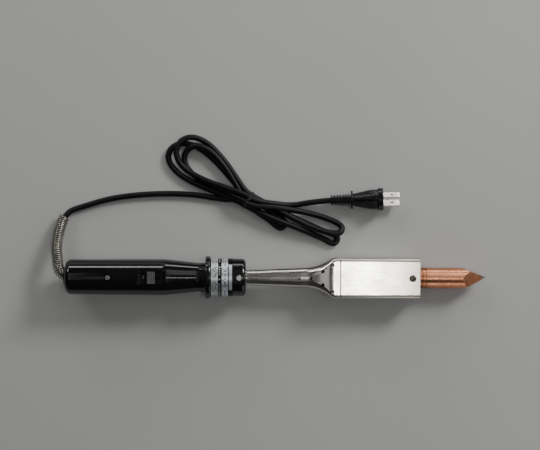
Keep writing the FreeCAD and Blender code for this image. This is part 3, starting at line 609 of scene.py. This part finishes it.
class IRON_OT_bit(bpy.types.Operator):
    """Finishes the copper bit"""

    bl_idname = "iron.bit"
    bl_label = "Bit"

    def execute(self, context):
        # turned copper: rings from the tool on the round bar, brown oxide near the housing, and a
        # grey tinned point
        copper = Vector(colours().copper)
        made = surface("turned copper", copper, Vector(linear("#cf8560")), (0.2, 0.34), 0.9 * MM, 0.01 * MM,
                       metallic=1.0, stretch=(2, 0.5, 0.5), patch=14 * MM)
        tree = made["tree"]
        along = add(tree, "ShaderNodeSeparateXYZ", {"Vector": made["where"]}).outputs[0]
        brown = add(tree, "ShaderNodeMapRange", {"Value": along, "From Min": OXIDE[0], "From Max": OXIDE[1],
                                                 "To Min": 0.55, "To Max": 0.0})
        recolour(made, brown.outputs[0], linear("#7c4a33"))
        tinned = add(tree, "ShaderNodeMapRange", {"Value": along, "From Min": TINNED_POINT[0],
                                                  "From Max": TINNED_POINT[1]})
        recolour(made, tinned.outputs[0], linear("#b9b2ab"))
        # tool rings further apart than a real feed of 0.2 mm, so that they show
        rings = add(tree, "ShaderNodeTexWave", {"Vector": made["where"],
                                                "Scale": 1 / (TOOL_RINGS * WAVE_BANDS),
                                                "Distortion": 0.4}, bands_direction="X")
        bump = add(tree, "ShaderNodeBump", {"Height": rings.outputs[1], "Distance": 0.01 * MM,
                                            "Normal": made["bump"].outputs[0]})
        tree.links.new(bump.outputs[0], made["shader"].inputs["Normal"])
        paint(["soldering_bit"], made)
        return {"FINISHED"}


class IRON_OT_fasteners(bpy.types.Operator):
    """Finishes the screws and nuts"""

    bl_idname = "iron.fasteners"
    bl_label = "Screws and nuts"

    def execute(self, context):
        paint(["handle_screw", "handle_nut", "collar_screws", "shoulder_nuts"], nickel_screws())
        # screws next to the heater: plating burnt to a dark straw grey
        burnt = surface("heat darkened screw steel", linear("#5b554c"), linear("#37322c"), (0.25, 0.42),
                        0.5 * MM, 0.02 * MM, metallic=1.0, patch=3 * MM)
        paint(["shoulder_screws", "set_screw"], burnt)
        # zinc plate: a bluer, duller grey than the nickel
        zinc = surface("zinc plated steel", linear("#a3a7aa"), linear("#878b8e"), (0.34, 0.5), 0.4 * MM,
                       0.01 * MM, metallic=1.0, patch=3 * MM)
        paint(["cord_clamp_screws"], zinc)
        return {"FINISHED"}


class IRON_OT_plug(bpy.types.Operator):
    """Finishes the moulded plug and its blades"""

    bl_idname = "iron.plug"
    bl_label = "Plug"

    def execute(self, context):
        # moulded vinyl: satin black with a fine leather-like grain
        base = Vector(colours().plug)
        vinyl = surface("moulded vinyl", base, base * 1.5, (0.2, 0.32), 0.8 * MM, 0.02 * MM, patch=10 * MM,
                        IOR=1.53, Specular_IOR_Level=0.4)
        paint(["plug_strain_relief", "plug_body"], vinyl)
        warm = Vector(colours().nickel)
        blades = surface("nickel plated brass", warm, warm * 0.75, (0.18, 0.3), 0.6 * MM, 0.006 * MM,
                         metallic=1.0, stretch=(0.3, 1, 1), patch=5 * MM)
        paint(["plug_blades"], blades)
        return {"FINISHED"}


class IRON_OT_inside(bpy.types.Operator):
    """Finishes the cord's end, wiring and heater inside the iron"""

    bl_idname = "iron.inside"
    bl_label = "Wiring and heater"

    def execute(self, context):
        paint(["cord_jacket_end"], matte_rubber("rubber cord end", colours().sheath, (0.5, 0.65)))
        # glass-filled nylon: dull black with a fine rough grain
        nylon = surface("glass filled nylon", linear("#1a1a1a"), linear("#262626"), (0.45, 0.6), 0.3 * MM,
                        0.02 * MM)
        paint(["cord_clamp"], nylon)
        # silicone insulation: off-white and waxy
        silicone = surface("white silicone insulation", linear("#d9d7d0"), linear("#c6c3ba"), (0.4, 0.55),
                           0.5 * MM, 0.01 * MM)
        paint(["cord_cores", "switch_lead"], silicone)
        brass = surface("stamped brass", linear("#d8b568"), linear("#a98645"), (0.25, 0.4), 0.4 * MM,
                        0.01 * MM, metallic=1.0, patch=4 * MM)
        paint(["switch_terminals", "terminal_screws"], brass)
        # unglazed steatite: chalky cream with a fine rough grain
        steatite = surface("unglazed steatite", linear("#e6e1d3"), linear("#cfc8b6"), (0.6, 0.8), 0.35 * MM,
                           0.03 * MM, patch=8 * MM)
        paint(["terminal_block"], steatite)
        # the same clay browned and smoked by the heater
        smoked = surface("smoked steatite", linear("#4a3f35"), linear("#2b2622"), (0.65, 0.85), 0.35 * MM,
                         0.03 * MM, patch=6 * MM)
        paint(["lead_beads", "rear_disc"], smoked)
        # hot steel: brown-grey scale with blue patches
        scale = surface("heat scaled steel", linear("#6d655c"), linear("#4d4f57"), (0.4, 0.6), 0.6 * MM,
                        0.02 * MM, metallic=1.0, patch=9 * MM)
        paint(["front_plate", "rear_plate", "heater_barrel", "heater_bands"], scale)
        # mica sheet: amber in paler and darker patches, glossy
        mica = surface("amber mica sheet", linear("#b79c68"), linear("#8a6f42"), (0.18, 0.34), 1.2 * MM,
                       0.03 * MM, patch=5 * MM)
        paint(["inner_mica", "outer_mica"], mica)
        ribbon = surface("oxidised resistance ribbon", linear("#5b5750"), linear("#3c3a37"), (0.4, 0.55),
                         0.3 * MM, 0.01 * MM, metallic=1.0)
        paint(["heater_winding"], ribbon)
        lead = surface("nickel lead wire", linear("#a29e96"), linear("#7f7b74"), (0.3, 0.45), 0.3 * MM,
                       0.005 * MM, metallic=1.0)
        paint(["heater_leads"], lead)
        return {"FINISHED"}


class IRON_OT_stage(bpy.types.Operator):
    """Adds the pale floor, the strip lights and the soft surrounding light"""

    bl_idname = "iron.stage"
    bl_label = "Floor and lights"

    def execute(self, context):
        half = FLOOR_HALF
        mesh = bpy.data.meshes.new("floor")
        mesh.from_pydata([(-half, -half, 0), (half, -half, 0), (half, half, 0), (-half, half, 0)], [],
                         [(0, 1, 2, 3)])
        floor = bpy.data.objects.new("floor", mesh)
        context.scene.collection.objects.link(floor)
        # painted bench top: plain pale grey, matte
        pale = Vector(colours().floor)
        made = surface("painted bench top", pale, pale * 0.97, (0.6, 0.7), 3 * MM, 0.01 * MM,
                       patch=300 * MM)
        mesh.materials.append(made["material"])

        # name, place, aim, size along x, size along y, power
        lamps = [
            ("overhead strip", (0.38, -0.08, 2.0), (0.38, -0.08, 0), 0.20, 0.40, 3.5),
            ("dim ceiling by the strip", (0.66, 0.05, 2.02), (0.66, 0.05, 0), 0.36, 1.6, 0.5),
            ("dim ceiling over the bit", (1.16, 0.05, 2.02), (1.16, 0.05, 0), 0.64, 1.6, 0.8),
            ("grey ceiling over the stem", (0.13, -0.35, 2.02), (0.13, -0.35, 0), 0.34, 2.1, 0.36),
            ("grey ceiling behind the stem", (0.075, 1.65, 2.02), (0.075, 1.65, 0), 0.35, 1.9, 0.28),
            ("pale ceiling behind", (0.70, 1.65, 2.02), (0.70, 1.65, 0), 0.84, 1.9, 4.0),
            ("pale ceiling at the left", (-0.75, 0.2, 2.02), (-0.75, 0.2, 0), 0.6, 1.6, 1.5),
            ("card behind the bit", (0.85, 1.8, 1.1), (0.2, 0, 0.02), 1.0, 0.5, 3.0),
            ("card beyond the bit", (2.1, 0.1, 1.2), (0.2, 0, 0.02), 1.0, 1.0, 4.5),
            ("far window", (-0.62, 1.7, 0.62), (-0.62, 0, 0.02), 1.0, 0.3, 5.5),
            ("low window", (0.62, 1.9, 0.16), (0.62, 0, 0.02), 1.35, 0.24, 5.5),
            ("near card", (0.82, -1.6, 0.62), (0.5, 0, 0.02), 1.0, 1.0, 3.4),
            ("right softbox", (1.6, 1.6, 1.3), (0.1, 0.05, 0), 0.7, 0.7, 44),
            ("left softbox", (-1.6, 1.6, 1.3), (-0.1, 0.05, 0), 0.7, 0.7, 9),
        ]
        for name, place, aim, width, depth, power in lamps:
            data = bpy.data.lights.new(name, "AREA")
            data.shape = "RECTANGLE"
            data.size = width
            data.size_y = depth
            data.energy = power
            lamp = bpy.data.objects.new(name, data)
            lamp.location = place
            lamp.rotation_euler = (Vector(aim) - Vector(place)).to_track_quat("-Z", "Y").to_euler()
            context.scene.collection.objects.link(lamp)
        world = bpy.data.worlds.new("soft room")
        world.use_nodes = True
        room = next(node for node in world.node_tree.nodes if node.type == "BACKGROUND")
        room.inputs["Color"].default_value = (*linear("#d8dadc"), 1)
        room.inputs["Strength"].default_value = ROOM_LIGHT
        context.scene.world = world
        return {"FINISHED"}


class IRON_PT_panel(bpy.types.Panel):
    """Lists the iron's pieces with their sizes and colours"""

    bl_label = "Soldering iron"
    bl_idname = "IRON_PT_panel"
    bl_space_type = "VIEW_3D"
    bl_region_type = "UI"
    bl_category = "Soldering iron"

    def draw(self, context):
        for operator in OPERATORS:
            self.layout.operator(operator.bl_idname)
        for group in (context.scene.iron_sizes, context.scene.iron_colours):
            for name in group.__annotations__:
                self.layout.prop(group, name)


OPERATORS = [IRON_OT_camera, IRON_OT_cord, IRON_OT_guard, IRON_OT_tie, IRON_OT_handle, IRON_OT_switch,
             IRON_OT_label, IRON_OT_housing, IRON_OT_bit, IRON_OT_fasteners, IRON_OT_plug, IRON_OT_inside,
             IRON_OT_stage]
CLASSES = [IronSizes, IronColours, *OPERATORS, IRON_PT_panel]


def register():
    for item in CLASSES:
        bpy.utils.register_class(item)
    bpy.types.Scene.iron_sizes = PointerProperty(type=IronSizes)
    bpy.types.Scene.iron_colours = PointerProperty(type=IronColours)


def unregister():
    del bpy.types.Scene.iron_colours
    del bpy.types.Scene.iron_sizes
    for item in reversed(CLASSES):
        bpy.utils.unregister_class(item)


def main():
    register()
    for operator in OPERATORS:
        group, name = operator.bl_idname.split(".")
        getattr(getattr(bpy.ops, group), name)()


if __name__ == "__main__":
    main()
